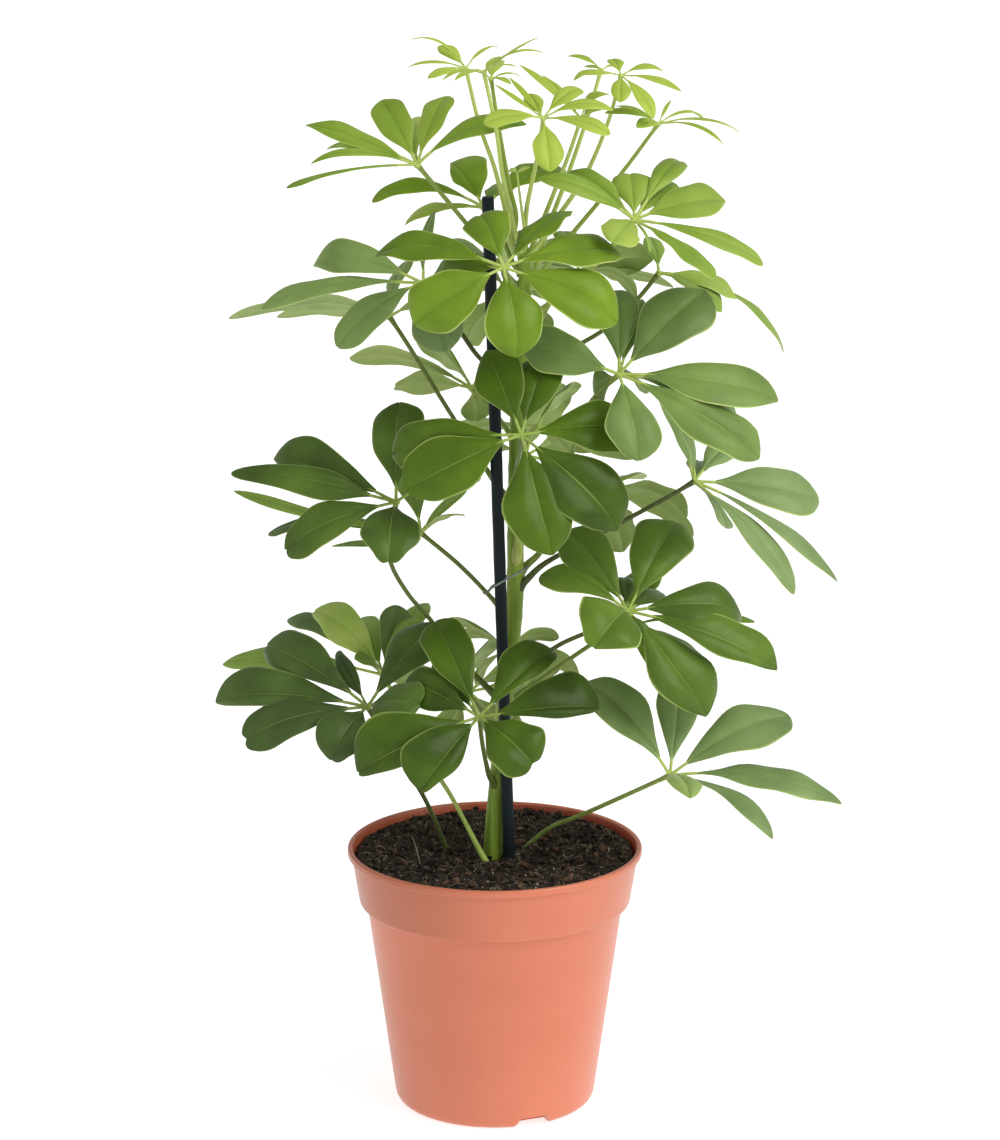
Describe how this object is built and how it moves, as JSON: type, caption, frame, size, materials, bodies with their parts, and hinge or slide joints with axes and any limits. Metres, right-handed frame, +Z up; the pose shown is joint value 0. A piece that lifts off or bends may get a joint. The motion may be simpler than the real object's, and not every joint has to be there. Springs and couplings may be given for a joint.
{
  "type": "potted umbrella plant",
  "caption": "Umbrella plant with glossy fingered leaves, tied to a dark support stake in a terracotta-coloured nursery pot.",
  "frame": {"origin": "middle of the pot's flat base, on the ground", "axes": "+Z up along the pot's axis, -Y to the viewer of the front"},
  "size_m": [0.3569, 0.2612, 0.6241],
  "materials": {
    "pot_plastic": "satin",
    "compost": "crumbly and matt",
    "stake_coating": "satin",
    "tie_wire": "satin coating",
    "stem_skin": "smooth green bark",
    "leaf_skin": "waxy",
    "young_leaf_skin": "waxy and tender"
  },
  "bodies": {
    "root": {"pot": "pot_plastic", "soil": "compost", "support_stake": "stake_coating", "wire_tie": "tie_wire", "main_stem": "stem_skin", "leaf_low_left": "leaf_skin", "leaf_low_left_back": "leaf_skin", "leaf_low_front": "leaf_skin", "leaf_low_back": "leaf_skin", "leaf_low_right": "leaf_skin", "leaf_low_right_back": "leaf_skin", "leaf_far_low_right": "leaf_skin", "leaf_left": "leaf_skin", "leaf_left_back": "leaf_skin", "leaf_mid_left_back": "leaf_skin", "leaf_mid_left": "leaf_skin", "leaf_high_left": "leaf_skin", "leaf_centre_low": "leaf_skin", "leaf_centre_back": "leaf_skin", "leaf_mid_right_back": "leaf_skin", "leaf_centre_high": "leaf_skin", "leaf_high_back_right": "leaf_skin", "leaf_right": "leaf_skin", "leaf_far_right": "leaf_skin", "leaf_far_right_high": "leaf_skin", "leaf_upper_right": "leaf_skin", "leaf_top_left": "leaf_skin", "leaf_top_back": "leaf_skin", "leaf_young_front_left": "young_leaf_skin", "leaf_young_middle": "young_leaf_skin", "leaf_young_back": "young_leaf_skin", "leaf_young_front": "young_leaf_skin", "leaf_young_high_back": "young_leaf_skin", "leaf_young_right_back": "young_leaf_skin", "leaf_young_right": "young_leaf_skin", "leaf_young_far_right": "young_leaf_skin", "leaf_back_high": "leaf_skin", "leaf_back_middle": "leaf_skin", "leaf_back_low": "leaf_skin"}
  },
  "joints": []
}
